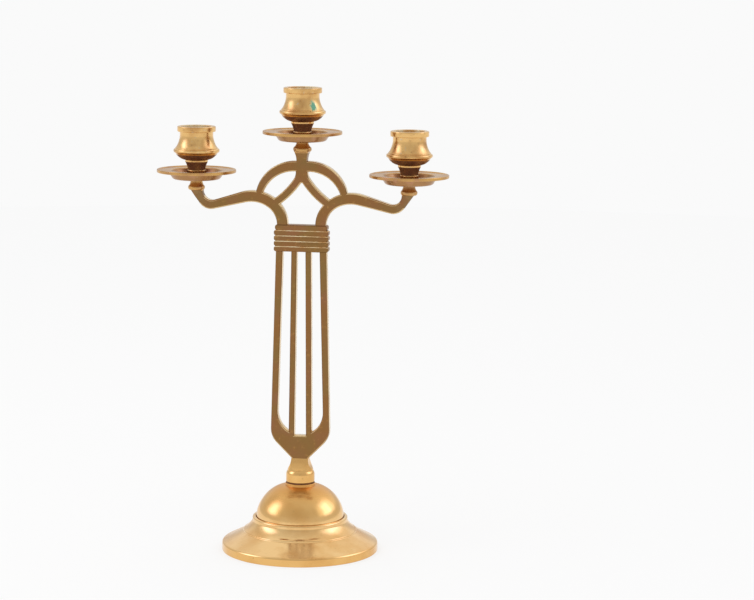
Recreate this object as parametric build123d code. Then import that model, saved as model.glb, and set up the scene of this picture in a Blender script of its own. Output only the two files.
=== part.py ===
from build123d import *
import os
import math

# Three-light brass candelabra. Millimetres, +Z up, origin on the table under the stem.
# The cast stem stands in the XZ plane, its front faces -Y and its arms run along X.

# Foot, turned hollow in one piece, from the dome outwards
DOME_RADIUS = 32.3
DOME_RISE = 24.2
RING_WIDTH = 2.7
RING_RISE = 2.8
COVE_WIDTH = 6.6
COVE_RISE = 7.0
COVE_HOLLOW = 0.9
STEP_EDGE = 1.1
SKIRT_WIDTH = 15.7
SKIRT_RISE = 8.0
RIM_HEIGHT = 6.0
RIM_EDGE = 0.8
GROOVE_DEPTH = 1.0
DOME_LEDGE = 1.4
BOSS_RISE = 2.6
BOSS_LEDGE = 0.4
SEAM_HEIGHT = 0.8
SEAM_DEPTH = 1.2
FOOT_WALL = 2.6
FOOT_REST = 5.2
FOOT_CEILING = 5.4

# Stem casting: collar and neck
COLLAR_RADIUS = 10.5
COLLAR_HEIGHT = 5.4
COLLAR_EDGE = 0.5
COLLAR_ROUND = 3.0
COLLAR_TUCK = 1.0
NECK_RISE = 12.2
NECK_WIDTH = 12.4
NECK_HOLLOW = 1.1
PLATE_THICKNESS = 7.0
CASTING_EDGE = 0.8

# Stem casting: fork of four bars
SHOULDER_ANGLE = 45.0
SHOULDER_ROUND = 15.0
FORK_FLOOR = 17.0
FORK_LENGTH = 135.8
SLOT_TOP_WIDTH = 6.4
CENTRE_SLOT_FOOT = 8.8
SIDE_SLOT_FOOT = 8.4
SIDE_SLOT_LIFT = 2.8
SIDE_SLOT_SWEEP = 15.0
INNER_BAR = 4.0
OUTER_BAR = 5.0

# Stem casting: ribbed band
RIB_COUNT = 5
RIB_PITCH = 3.9
RIB_PROUD = 0.7
RIB_OVERHANG = 1.4
RIB_BEVEL = 0.55
RIB_END_ROUND = 1.55
BAND_SHOULDER = 1.6

# Stem casting: shoulders, arch and braces above the band
LEG_INSET = 0.7
LEG_WIDTH = 7.7
CREST_DEPTH = 8.1
SHOULDER_HALF = 18.6
SHOULDER_RISE = 16.0
ARCH_RADIUS = 29.0
ARCH_SPREAD = 5.1
ARCH_LIFT = 17.4
ARCH_FOOT_WIDTH = 4.05
ARCH_CROWN_WIDTH = 7.5
BRACE_RADIUS = 63.6
BRACE_WIDTH = 5.9
BRACE_LEAN = 33.0
CROTCH_DROP = 15.0
CROTCH_ROUND = 8.0
CROTCH_TIP = 1.0
POST_WIDTH = 8.6
POST_TIP_WIDTH = 7.4

# Stem casting: arms
ARM_REACH = 78.0
ARM_TOP_SLOPE = 17.6
ARM_UNDER_SLOPE = 12.8
ELBOW_INNER_ROUND = 6.8
ELBOW_OUTER_ROUND = 10.0
HEEL_ANGLE = 54.8
HEEL_INNER = 4.9
HEEL_OUTER = 4.9
HEEL_RISE = 11.4
POST_SEAT_RISE = 14.5

# Turned ends of the post and the arms
NOZZLE_RADIUS = 4.35
NOZZLE_STRAIGHT = 1.0
BEAD_DROP = 6.0
BEAD_ROUND = 1.7
BEAD_PROUD = 0.85
POST_BEAD_RADIUS = 6.75
ARM_BEAD_RADIUS = 6.15
FLARE_RISE = 10.0
FLARE_FOOT = 3.0

# Drip pans
PAN_RADIUS = 28.8
PAN_SHEET = 1.6
PAN_RIM_WIDTH = 8.6
PAN_WELL_DEPTH = 5.0
PAN_WELL_TAPER = 3.2
PAN_EDGE = 0.5

# Candle cups, from the candle end down
CANDLE_RADIUS = 11.0
CANDLE_DEPTH = 18.0
CUP_LIP_WALL = 2.95
CUP_LIP_HEIGHT = 3.9
CUP_LIP_EDGE = 0.5
CUP_WAIST_WALL = 1.1
CUP_WAIST_HEIGHT = 1.0
CUP_BELL_HEIGHT = 11.4
CUP_BELL_FLARE = 3.4
CUP_BELL_HOLLOW = 0.9
CUP_BEAD_PROUD = 1.2
CUP_BEAD_HEIGHT = 2.8
CUP_UNDER_HEIGHT = 5.2
CUP_UNDER_BULGE = 1.1
CUP_RING_RADIUS = 8.3
CUP_RING_HEIGHT = 1.4
PEDESTAL_HEIGHT = 6.0
PEDESTAL_HOLLOW = 0.5
PEDESTAL_RADIUS = 6.2
FOOT_RING_HEIGHT = 0.9
FOOT_RING_PROUD = 0.35
CUP_SEAT_RADIUS = 5.8
CUP_SEAT_HEIGHT = 4.3

# Threaded studs, nut and washer, with plain shanks at the thread's outer size
CUP_STUD_RADIUS = 2.4
CUP_STUD_GRIP = 9.0
CUP_STUD_RISE = 7.0
TIE_RADIUS = 3.0
TIE_GRIP = 13.0
NUT_SIDES = 6
NUT_FLATS = 10.0
NUT_HEIGHT = 5.0
WASHER_RADIUS = 9.0
WASHER_SHEET = 1.5
STUD_TAIL = 2.0

# Clearances
RUNNING_GAP = 0.05
HOLE_GAP = 0.25
END_GAP = 0.6
TRIM_GAP = 0.3

# Widths worked out from the sizes above
RING_RADIUS = DOME_RADIUS + RING_WIDTH
STEP_RADIUS = RING_RADIUS + COVE_WIDTH
FOOT_RADIUS = STEP_RADIUS + SKIRT_WIDTH
BOSS_RADIUS = COLLAR_RADIUS + BOSS_LEDGE
DOME_TOP_RADIUS = BOSS_RADIUS + DOME_LEDGE
FORK_TOP_HALF = SLOT_TOP_WIDTH / 2 + INNER_BAR + SLOT_TOP_WIDTH + OUTER_BAR
FORK_FOOT_HALF = CENTRE_SLOT_FOOT / 2 + INNER_BAR + SIDE_SLOT_FOOT + OUTER_BAR
HALF_PLATE = PLATE_THICKNESS / 2
NECK_HALF = NECK_WIDTH / 2
CREST_X = FORK_TOP_HALF - LEG_INSET + SHOULDER_HALF
ELBOW_X = ARM_REACH - HEEL_INNER

# Shoulder ellipses about (CREST_X, CREST_Z) as half axes, and the straight arm edges that leave them
UNDER_AXES = (SHOULDER_HALF, SHOULDER_RISE)
OVER_AXES = (SHOULDER_HALF + LEG_WIDTH, SHOULDER_RISE + CREST_DEPTH)
UNDER_FALL = math.tan(math.radians(ARM_UNDER_SLOPE))
OVER_FALL = math.tan(math.radians(ARM_TOP_SLOPE))
UNDER_LEVEL = math.hypot(UNDER_AXES[1], UNDER_FALL * UNDER_AXES[0])
OVER_LEVEL = math.hypot(OVER_AXES[1], OVER_FALL * OVER_AXES[0])

# Heights worked out from the sizes above
STEP_Z = RIM_HEIGHT + SKIRT_RISE
COVE_Z = STEP_Z + STEP_EDGE
RING_Z = COVE_Z + COVE_RISE
DOME_Z = RING_Z + RING_RISE - GROOVE_DEPTH
DOME_TOP_Z = DOME_Z + DOME_RISE
SEAT_Z = DOME_TOP_Z + BOSS_RISE
COLLAR_Z = SEAT_Z + COLLAR_HEIGHT
FORK_Z = COLLAR_Z + NECK_RISE
SLOT_Z = FORK_Z + FORK_FLOOR
BAND_Z = SLOT_Z + FORK_LENGTH
CREST_Z = BAND_Z + RIB_COUNT * RIB_PITCH
ARCH_Z = CREST_Z + ARCH_LIFT
ARCH_TOP_Z = ARCH_Z + ARCH_RADIUS
ELBOW_Z = CREST_Z + OVER_LEVEL - OVER_FALL * (ELBOW_X - CREST_X)
HEEL_Z = ELBOW_Z + HEEL_RISE
ARM_SEAT_Z = HEEL_Z + BEAD_DROP
POST_SEAT_Z = ARCH_TOP_Z + POST_SEAT_RISE

# The three lights: name, place along X, and height of the seat that carries the pan
LIGHTS = [
    ("left", -ARM_REACH, ARM_SEAT_Z),
    ("centre", 0.0, POST_SEAT_Z),
    ("right", ARM_REACH, ARM_SEAT_Z),
]


def turned(edges):
    """A solid of revolution about Z from profile edges drawn as (radius, height)."""
    return revolve(Plane.XZ * make_face(edges), Axis.Z)


def profile(*points):
    """Straight profile edges through points, closed back to the first one."""
    return Polyline(*points, close=True).edges()


def rod(radius, low, high, x=0.0):
    """A round bar about a vertical axis, between two heights."""
    return Pos(x, 0, (low + high) / 2) * Cylinder(radius, high - low)


def plate(sketch, half_depth):
    """A front view drawn as (x, height), thickened evenly about the XZ plane."""
    return extrude(Plane.XZ * sketch, half_depth, both=True)


def cast_plate(sketch, *joins):
    """A front view at the casting's thickness, its edges broken except where level ones join on."""
    solid = plate(sketch, HALF_PLATE)
    edges = solid.faces().filter_by(Axis.Y).edges()
    level = edges.filter_by(Axis.X)
    for height in joins:
        edges -= level.filter_by_position(Axis.Z, height - CASTING_EDGE, height + CASTING_EDGE)
    return chamfer(edges, CASTING_EDGE)


def block(x_low, x_high, z_low, z_high):
    """A rectangle of a front view between two places and two heights."""
    centre = Pos((x_low + x_high) / 2, (z_low + z_high) / 2)
    return centre * Rectangle(x_high - x_low, z_high - z_low)


def both_sides(sketch):
    """A front view together with its mirror image about the stem's axis."""
    return sketch + mirror(sketch, Plane.YZ)


def make_foot():
    """The hollow turned foot: rim, skirt, step, cove, ring, groove, dome and the seam under the collar."""
    dome = TangentArc((DOME_RADIUS, DOME_Z), (DOME_TOP_RADIUS, DOME_TOP_Z), tangent=(0, 1))
    rim_side = (FOOT_RADIUS, RIM_HEIGHT - RIM_EDGE)
    rim_top = (FOOT_RADIUS - RIM_EDGE, RIM_HEIGHT)
    seam = BOSS_RADIUS - SEAM_DEPTH
    seam_z = SEAT_Z - SEAM_HEIGHT
    outside = [
        Line((0, 0), (FOOT_RADIUS, 0)),
        Line((FOOT_RADIUS, 0), rim_side),
        Line(rim_side, rim_top),
        Line(rim_top, (STEP_RADIUS, STEP_Z)),
        Line((STEP_RADIUS, STEP_Z), (STEP_RADIUS, COVE_Z)),
        SagittaArc((STEP_RADIUS, COVE_Z), (RING_RADIUS, RING_Z), COVE_HOLLOW),
        TangentArc((RING_RADIUS, RING_Z), (DOME_RADIUS, DOME_Z + GROOVE_DEPTH), tangent=(0, 1)),
        Line((DOME_RADIUS, DOME_Z + GROOVE_DEPTH), (DOME_RADIUS, DOME_Z)),
        dome,
        Line((DOME_TOP_RADIUS, DOME_TOP_Z), (BOSS_RADIUS, DOME_TOP_Z)),
        Line((BOSS_RADIUS, DOME_TOP_Z), (BOSS_RADIUS, seam_z)),
        Line((BOSS_RADIUS, seam_z), (seam, seam_z)),
        Line((seam, seam_z), (seam, SEAT_Z)),
        Line((seam, SEAT_Z), (0, SEAT_Z)),
        Line((0, SEAT_Z), (0, 0)),
    ]
    return turned(outside) - make_foot_hollow(dome.radius) - rod(TIE_RADIUS + HOLE_GAP, 0, SEAT_Z)


def make_foot_hollow(dome_round):
    """The space inside the foot, an even wall behind the skirt and the dome."""
    inner = FOOT_RADIUS - FOOT_REST
    waist = DOME_RADIUS - FOOT_WALL
    skirt = Polyline(
        (0, 0), (inner, 0), (STEP_RADIUS - FOOT_WALL, STEP_Z - FOOT_WALL), (waist, RING_Z - FOOT_WALL),
        (waist, DOME_Z), (0, DOME_Z), close=True,
    )
    centre = DOME_RADIUS - dome_round
    ceiling = SEAT_Z - FOOT_CEILING - DOME_Z
    round_top = Pos(centre, DOME_Z) * Circle(dome_round - FOOT_WALL)
    flat_top = block(0, max(centre, FOOT_WALL), DOME_Z, DOME_Z + ceiling)
    dome = (round_top + flat_top) & block(0, FOOT_RADIUS, DOME_Z, DOME_Z + ceiling)
    return revolve(Plane.XZ * (make_face(skirt) + dome), Axis.Z)


def flare(front, side, envelope):
    """A flare with four facets: a front and a side view crossed, trimmed by a turned envelope."""
    reach = envelope.bounding_box().max.X
    deep = extrude(Plane.XZ * front, reach, both=True)
    wide = extrude(Plane.YZ * side, reach, both=True)
    return deep & wide & envelope


def make_neck():
    """The collar and the neck, whose flat facets run out as tongues on the round collar."""
    tongue = (COLLAR_RADIUS, COLLAR_Z + COLLAR_ROUND)
    front = make_face([
        Line((0, FORK_Z), (NECK_HALF, FORK_Z)),
        TangentArc((NECK_HALF, FORK_Z), tongue, tangent=(0, -1)),
        Line(tongue, (COLLAR_RADIUS, COLLAR_Z)),
        Line((COLLAR_RADIUS, COLLAR_Z), (0, COLLAR_Z)),
        Line((0, COLLAR_Z), (0, FORK_Z)),
    ])
    side = make_face([
        Line((0, FORK_Z), (HALF_PLATE, FORK_Z)),
        SagittaArc((HALF_PLATE, FORK_Z), tongue, -NECK_HOLLOW),
        Line(tongue, (COLLAR_RADIUS, COLLAR_Z)),
        Line((COLLAR_RADIUS, COLLAR_Z), (0, COLLAR_Z)),
        Line((0, COLLAR_Z), (0, FORK_Z)),
    ])
    shoulder = (COLLAR_RADIUS - COLLAR_TUCK, COLLAR_Z + COLLAR_ROUND)
    corner = (math.hypot(NECK_HALF, HALF_PLATE) + TRIM_GAP, FORK_Z)
    envelope = turned([
        Line((0, COLLAR_Z), (COLLAR_RADIUS, COLLAR_Z)),
        TangentArc((COLLAR_RADIUS, COLLAR_Z), shoulder, tangent=(0, 1)),
        Line(shoulder, corner),
        Line(corner, (0, FORK_Z)),
        Line((0, FORK_Z), (0, COLLAR_Z)),
    ])
    collar = turned(profile(
        (0, SEAT_Z), (COLLAR_RADIUS - COLLAR_EDGE, SEAT_Z), (COLLAR_RADIUS, SEAT_Z + COLLAR_EDGE),
        (COLLAR_RADIUS, COLLAR_Z), (0, COLLAR_Z),
    ))
    return collar + flare(both_sides(front), both_sides(side), envelope)


def make_fork():
    """Front view of the fork: four bars that spread towards a shouldered root."""
    spread = FORK_FOOT_HALF - NECK_HALF
    corner = (FORK_FOOT_HALF, FORK_Z + spread * math.tan(math.radians(SHOULDER_ANGLE)))
    half = make_face(Polyline(
        (0, FORK_Z), (NECK_HALF, FORK_Z), corner, (FORK_TOP_HALF, BAND_Z), (0, BAND_Z), close=True,
    ))
    half = fillet(half.vertices().sort_by_distance(Vector(*corner))[0], SHOULDER_ROUND)
    return both_sides(half) - make_slots()


def make_slots():
    """Front view of the three slots: a square-ended centre one and two that sweep to a point."""
    top_half = SLOT_TOP_WIDTH / 2
    foot_half = CENTRE_SLOT_FOOT / 2
    centre = make_face(Polyline(
        (-foot_half, SLOT_Z), (foot_half, SLOT_Z), (top_half, BAND_Z), (-top_half, BAND_Z), close=True,
    ))
    inner_top = (top_half + INNER_BAR, BAND_Z)
    outer_top = (inner_top[0] + SLOT_TOP_WIDTH, BAND_Z)
    tip = (foot_half + INNER_BAR, SLOT_Z + SIDE_SLOT_LIFT)
    sweep = (tip[0] + SIDE_SLOT_FOOT, tip[1] + SIDE_SLOT_SWEEP)
    side = make_face([
        Line(inner_top, outer_top),
        Line(outer_top, sweep),
        TangentArc(sweep, tip, tangent=Vector(*sweep) - Vector(*outer_top)),
        Line(tip, inner_top),
    ])
    return centre + both_sides(side)


def make_rib(index):
    """One rib of the band, with round ends and bevelled edges that leave a groove to its neighbour."""
    low = BAND_Z + index * RIB_PITCH
    top_rib = index == RIB_COUNT - 1
    half = FORK_TOP_HALF + RIB_OVERHANG - (BAND_SHOULDER / 2 if top_rib else 0)
    face = block(-half, half, low, low + RIB_PITCH)
    face = fillet(face.vertices(), RIB_END_ROUND)
    solid = plate(face, HALF_PLATE + RIB_PROUD)
    edges = solid.faces().filter_by(Axis.Y).edges()
    return chamfer(edges, RIB_BEVEL)


def make_band():
    """The band of ribs that ties the fork to the arms."""
    band = make_rib(0)
    for index in range(1, RIB_COUNT):
        band += make_rib(index)
    return band


def make_arm():
    """Front view of the right arm from the shoulder's crest to the heel under its bead."""
    heel_climb = math.tan(math.radians(HEEL_ANGLE))
    outer_x = ARM_REACH + HEEL_OUTER
    under_z = CREST_Z + UNDER_LEVEL + UNDER_FALL * CREST_X
    corner_x = (under_z - HEEL_Z + heel_climb * outer_x) / (heel_climb + UNDER_FALL)
    outer_corner = (corner_x, under_z - UNDER_FALL * corner_x)
    inner_corner = (ELBOW_X, ELBOW_Z)
    face = make_face(Polyline(
        slope_point(UNDER_AXES, UNDER_FALL), outer_corner, (outer_x, HEEL_Z), (ELBOW_X, HEEL_Z),
        inner_corner, slope_point(OVER_AXES, OVER_FALL), close=True,
    ))
    face = fillet(face.vertices().sort_by_distance(Vector(*inner_corner))[0], ELBOW_INNER_ROUND)
    return fillet(face.vertices().sort_by_distance(Vector(*outer_corner))[0], ELBOW_OUTER_ROUND)


def slope_point(axes, fall):
    """The point where a shoulder ellipse falls away at a slope, given as fall per unit of run."""
    turn = math.atan2(axes[1], fall * axes[0])
    return (CREST_X + axes[0] * math.cos(turn), CREST_Z + axes[1] * math.sin(turn))


def make_tracery():
    """Front view of the shoulders, arms, arch, braces and post, and of one arm by itself."""
    middle = (SHOULDER_HALF + LEG_WIDTH / 2, SHOULDER_RISE + CREST_DEPTH / 2)
    at_crest = Pos(CREST_X, CREST_Z)
    quadrant = make_face(Polyline(
        (CREST_X, CREST_Z), slope_point(UNDER_AXES, UNDER_FALL), slope_point(OVER_AXES, OVER_FALL),
        (CREST_X, ARCH_TOP_Z), (0, ARCH_TOP_Z), (0, CREST_Z), close=True,
    ))
    shoulder = (at_crest * Ellipse(*OVER_AXES) - at_crest * Ellipse(*UNDER_AXES)) & quadrant
    arm = make_arm()

    window_radius = ARCH_RADIUS - ARCH_FOOT_WIDTH
    window_z = ARCH_TOP_Z - ARCH_CROWN_WIDTH - window_radius
    arch = Pos(ARCH_SPREAD, ARCH_Z) * Circle(ARCH_RADIUS) + block(0, ARCH_SPREAD, ARCH_Z, ARCH_TOP_Z)
    arch = arch - Pos(ARCH_SPREAD, window_z) * Circle(window_radius)
    arch = arch & block(0, ARCH_SPREAD + ARCH_RADIUS, CREST_Z + middle[1], ARCH_TOP_Z)

    crotch_z = ARCH_TOP_Z - CROTCH_DROP
    lean = math.radians(BRACE_LEAN)
    brace_x = BRACE_RADIUS * math.cos(lean)
    brace_z = crotch_z + BRACE_RADIUS * math.sin(lean)
    brace_inner = BRACE_RADIUS - BRACE_WIDTH
    brace = Pos(brace_x, brace_z) * Circle(BRACE_RADIUS) - Pos(brace_x, brace_z) * Circle(brace_inner)
    brace = brace & block(0, CREST_X, CREST_Z, ARCH_TOP_Z)
    brace = brace - at_crest * Ellipse(*middle)

    post_half = POST_WIDTH / 2
    post = block(0, post_half, crotch_z, ARCH_TOP_Z - ARCH_CROWN_WIDTH / 2)
    half = shoulder + arm + arch + brace + post
    armpit = (post_half, brace_z - math.sqrt(brace_inner ** 2 - (brace_x - post_half) ** 2))
    half = fillet(half.vertices().sort_by_distance(Vector(*armpit))[0], CROTCH_ROUND)
    tracery = both_sides(half)
    return fillet(tracery.vertices().sort_by_distance(Vector(0, crotch_z))[0], CROTCH_TIP), arm


def make_turned_end(bead_radius, seat_z):
    """The turned bead and tapering nozzle that carry a pan, about the Z axis."""
    bead_z = seat_z - BEAD_DROP
    waist = (bead_radius - BEAD_PROUD, bead_z + BEAD_ROUND)
    return turned([
        Line((0, seat_z), (NOZZLE_RADIUS, seat_z)),
        Line((NOZZLE_RADIUS, seat_z), (NOZZLE_RADIUS, seat_z - NOZZLE_STRAIGHT)),
        TangentArc((NOZZLE_RADIUS, seat_z - NOZZLE_STRAIGHT), waist, tangent=(0, -1)),
        ThreePointArc(waist, (bead_radius, bead_z), (waist[0], bead_z - BEAD_ROUND)),
        Line((waist[0], bead_z - BEAD_ROUND), (0, bead_z - BEAD_ROUND)),
        Line((0, bead_z - BEAD_ROUND), (0, seat_z)),
    ])


def make_post_end():
    """The post above the arch, flaring on all four sides to its turned bead."""
    high = POST_SEAT_Z - BEAD_DROP
    top_half = POST_BEAD_RADIUS - BEAD_PROUD
    tip_half = POST_TIP_WIDTH / 2
    front = both_sides(make_face([
        Line((0, high), (top_half, high)),
        TangentArc((tip_half, ARCH_TOP_Z), (top_half, high), tangent=(0, 1)),
        Line((tip_half, ARCH_TOP_Z), (0, ARCH_TOP_Z)),
        Line((0, ARCH_TOP_Z), (0, high)),
    ]))
    front += block(-tip_half, tip_half, ARCH_TOP_Z - ARCH_CROWN_WIDTH / 2, ARCH_TOP_Z)
    side = both_sides(make_face([
        Line((0, high), (top_half, high)),
        TangentArc((HALF_PLATE, ARCH_TOP_Z), (top_half, high), tangent=(0, 1)),
        Line((HALF_PLATE, ARCH_TOP_Z), (0, ARCH_TOP_Z)),
        Line((0, ARCH_TOP_Z), (0, high)),
    ]))
    side += block(-HALF_PLATE, HALF_PLATE, ARCH_TOP_Z - ARCH_CROWN_WIDTH / 2, ARCH_TOP_Z)
    drop = high - ARCH_TOP_Z
    envelope = turned(profile(
        (0, high), (top_half, high), (top_half + drop, ARCH_TOP_Z),
        (top_half + drop, ARCH_TOP_Z - ARCH_CROWN_WIDTH), (0, ARCH_TOP_Z - ARCH_CROWN_WIDTH),
    ))
    return flare(front, side, envelope) + make_turned_end(POST_BEAD_RADIUS, POST_SEAT_Z)


def make_arm_end(arm):
    """The heel of the right arm, swelling round to its turned bead inside the arm's own outline."""
    low = HEEL_Z - FLARE_RISE
    swell = Pos(ARM_REACH, 0, 0) * turned([
        Line((0, low), (FLARE_FOOT, low)),
        TangentArc((FLARE_FOOT, low), (ARM_BEAD_RADIUS - BEAD_PROUD, HEEL_Z), tangent=(0, 1)),
        Line((ARM_BEAD_RADIUS - BEAD_PROUD, HEEL_Z), (0, HEEL_Z)),
        Line((0, HEEL_Z), (0, low)),
    ])
    end = swell & plate(arm, ARM_BEAD_RADIUS)
    return end + Pos(ARM_REACH, 0, 0) * make_turned_end(ARM_BEAD_RADIUS, ARM_SEAT_Z)


def make_stem_frame():
    """The whole openwork casting, drilled below for the tie and above for the three cup studs."""
    tracery, arm = make_tracery()
    arm_end = make_arm_end(arm)
    stem = cast_plate(make_fork(), FORK_Z, BAND_Z) + cast_plate(tracery, CREST_Z, HEEL_Z)
    stem = stem + make_band() + make_neck() + make_post_end()
    stem = stem + arm_end + mirror(arm_end, Plane.YZ)
    stem -= rod(TIE_RADIUS + RUNNING_GAP, SEAT_Z, SEAT_Z + TIE_GRIP + END_GAP)
    for _, x, seat_z in LIGHTS:
        stem -= rod(CUP_STUD_RADIUS + RUNNING_GAP, seat_z - CUP_STUD_GRIP - END_GAP, seat_z, x)
    return stem


def make_drip_pan(seat_z):
    """A drip pan: a flat rim round a dished well, holed for the stud. Its underside is at seat_z."""
    floor_z = seat_z + PAN_SHEET
    rim_z = floor_z + PAN_WELL_DEPTH
    well = PAN_RADIUS - PAN_RIM_WIDTH
    outside = [
        Line((0, seat_z), (well - PAN_WELL_TAPER, seat_z)),
        SagittaArc((well - PAN_WELL_TAPER, seat_z), (well, rim_z - PAN_SHEET), PAN_EDGE),
        Line((well, rim_z - PAN_SHEET), (PAN_RADIUS - PAN_EDGE, rim_z - PAN_SHEET)),
        Line((PAN_RADIUS - PAN_EDGE, rim_z - PAN_SHEET), (PAN_RADIUS, rim_z - PAN_SHEET + PAN_EDGE)),
        Line((PAN_RADIUS, rim_z - PAN_SHEET + PAN_EDGE), (PAN_RADIUS, rim_z - PAN_EDGE)),
        Line((PAN_RADIUS, rim_z - PAN_EDGE), (PAN_RADIUS - PAN_EDGE, rim_z)),
        Line((PAN_RADIUS - PAN_EDGE, rim_z), (well - PAN_SHEET, rim_z)),
        SagittaArc((well - PAN_SHEET, rim_z), (well - PAN_SHEET - PAN_WELL_TAPER, floor_z), -PAN_EDGE),
        Line((well - PAN_SHEET - PAN_WELL_TAPER, floor_z), (0, floor_z)),
        Line((0, floor_z), (0, seat_z)),
    ]
    return turned(outside) - rod(CUP_STUD_RADIUS + HOLE_GAP, seat_z, floor_z)


def make_candle_cup(seat_z):
    """A candle cup: lip, bell, bead, pedestal and seat, bored for a candle and tapped for its stud."""
    seat_top = seat_z + CUP_SEAT_HEIGHT
    ring_top = seat_top + FOOT_RING_HEIGHT
    pedestal_top = ring_top + PEDESTAL_HEIGHT
    under_z = pedestal_top + CUP_RING_HEIGHT
    bead_z = under_z + CUP_UNDER_HEIGHT
    bell_z = bead_z + CUP_BEAD_HEIGHT
    waist_z = bell_z + CUP_BELL_HEIGHT
    lip_z = waist_z + CUP_WAIST_HEIGHT
    top_z = lip_z + CUP_LIP_HEIGHT
    waist = CANDLE_RADIUS + CUP_WAIST_WALL
    bell = waist + CUP_BELL_FLARE
    bead = bell + CUP_BEAD_PROUD
    lip = CANDLE_RADIUS + CUP_LIP_WALL
    foot_ring = PEDESTAL_RADIUS + FOOT_RING_PROUD
    shape = turned([
        Line((0, seat_z), (CUP_SEAT_RADIUS, seat_z)),
        Line((CUP_SEAT_RADIUS, seat_z), (CUP_SEAT_RADIUS, seat_top)),
        Line((CUP_SEAT_RADIUS, seat_top), (foot_ring, seat_top)),
        Line((foot_ring, seat_top), (foot_ring, ring_top)),
        Line((foot_ring, ring_top), (PEDESTAL_RADIUS, ring_top)),
        SagittaArc((PEDESTAL_RADIUS, ring_top), (CUP_RING_RADIUS, pedestal_top), PEDESTAL_HOLLOW),
        Line((CUP_RING_RADIUS, pedestal_top), (CUP_RING_RADIUS, under_z)),
        SagittaArc((CUP_RING_RADIUS, under_z), (bell, bead_z), -CUP_UNDER_BULGE),
        ThreePointArc((bell, bead_z), (bead, (bead_z + bell_z) / 2), (bell, bell_z)),
        SagittaArc((bell, bell_z), (waist, waist_z), CUP_BELL_HOLLOW),
        Line((waist, waist_z), (waist, lip_z)),
        Line((waist, lip_z), (lip - CUP_LIP_EDGE, lip_z)),
        Line((lip - CUP_LIP_EDGE, lip_z), (lip, lip_z + CUP_LIP_EDGE)),
        Line((lip, lip_z + CUP_LIP_EDGE), (lip, top_z - CUP_LIP_EDGE)),
        Line((lip, top_z - CUP_LIP_EDGE), (lip - CUP_LIP_EDGE, top_z)),
        Line((lip - CUP_LIP_EDGE, top_z), (0, top_z)),
        Line((0, top_z), (0, seat_z)),
    ])
    socket = rod(CANDLE_RADIUS, top_z - CANDLE_DEPTH, top_z)
    tapped = rod(CUP_STUD_RADIUS + RUNNING_GAP, seat_z, seat_z + CUP_STUD_RISE + END_GAP)
    return shape - socket - tapped


def make_cup_stud(seat_z):
    """The stud from a seat of the stem, through the pan, into the cup."""
    low = seat_z - CUP_STUD_GRIP
    return rod(CUP_STUD_RADIUS, low, seat_z + PAN_SHEET + CUP_STUD_RISE)


def make_ties():
    """The tie stud that holds the stem on the foot, with its washer and nut inside the foot."""
    ceiling_z = SEAT_Z - FOOT_CEILING
    nut_z = ceiling_z - WASHER_SHEET
    hole = TIE_RADIUS + HOLE_GAP
    washer = rod(WASHER_RADIUS, nut_z, ceiling_z) - rod(hole, nut_z, ceiling_z)
    hexagon = RegularPolygon(NUT_FLATS / 2, NUT_SIDES, major_radius=False)
    nut = Pos(0, 0, nut_z - NUT_HEIGHT) * extrude(hexagon, NUT_HEIGHT)
    nut -= rod(TIE_RADIUS + RUNNING_GAP, nut_z - NUT_HEIGHT, nut_z)
    stud = rod(TIE_RADIUS, nut_z - NUT_HEIGHT - STUD_TAIL, SEAT_Z + TIE_GRIP)
    return {"tie_stud": stud, "tie_washer": washer, "tie_nut": nut}


def make_lights():
    """The pan, cup and stud of each of the three lights."""
    pieces = {}
    for side, x, seat_z in LIGHTS:
        place = Pos(x, 0, 0)
        pieces[side + "_drip_pan"] = place * make_drip_pan(seat_z)
        pieces[side + "_candle_cup"] = place * make_candle_cup(seat_z + PAN_SHEET)
        pieces[side + "_cup_stud"] = place * make_cup_stud(seat_z)
    return pieces


def main():
    pieces = {"foot": make_foot(), "stem_frame": make_stem_frame()}
    pieces.update(make_ties())
    pieces.update(make_lights())
    os.makedirs("parts", exist_ok=True)
    for name, shape in pieces.items():
        export_step(shape, "parts/" + name + ".step")


main()
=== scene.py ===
"""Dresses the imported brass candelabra: turned foot, cast stem, drip pans, candle cups, studs and stage."""

import math

import bmesh
import bpy
from mathutils import Matrix, Vector


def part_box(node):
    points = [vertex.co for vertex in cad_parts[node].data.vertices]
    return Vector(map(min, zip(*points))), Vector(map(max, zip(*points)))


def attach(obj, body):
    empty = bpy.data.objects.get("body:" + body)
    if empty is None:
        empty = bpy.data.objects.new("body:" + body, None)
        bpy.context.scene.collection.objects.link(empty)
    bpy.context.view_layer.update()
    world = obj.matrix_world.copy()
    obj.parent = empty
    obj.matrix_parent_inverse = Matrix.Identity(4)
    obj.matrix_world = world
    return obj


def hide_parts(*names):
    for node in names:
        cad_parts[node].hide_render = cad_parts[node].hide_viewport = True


bl_info = {
    "name": "Brass Candelabra",
    "version": (1, 0, 0),
    "blender": (4, 5, 0),
    "location": "View3D > Sidebar > Candelabra",
    "description": "Builds an old brass three-light candelabra on its packed frame",
    "category": "Add Mesh",
}

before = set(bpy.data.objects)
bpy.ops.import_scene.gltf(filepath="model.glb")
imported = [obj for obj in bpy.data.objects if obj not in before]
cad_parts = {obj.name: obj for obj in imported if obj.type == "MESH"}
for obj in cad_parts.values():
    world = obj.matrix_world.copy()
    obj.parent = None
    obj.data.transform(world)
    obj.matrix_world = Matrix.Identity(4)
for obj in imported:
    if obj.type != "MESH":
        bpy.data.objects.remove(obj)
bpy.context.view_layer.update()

MM = 0.001
SIDES = ("left", "centre", "right")
PICTURE_WIDTH = 754
SENSOR_WIDTH = 36.0

# Vertices nearer to each other than this are merged, and edges shorter than the second are taken out
MERGED = 0.002 * MM
NO_LENGTH = 0.001 * MM

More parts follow.
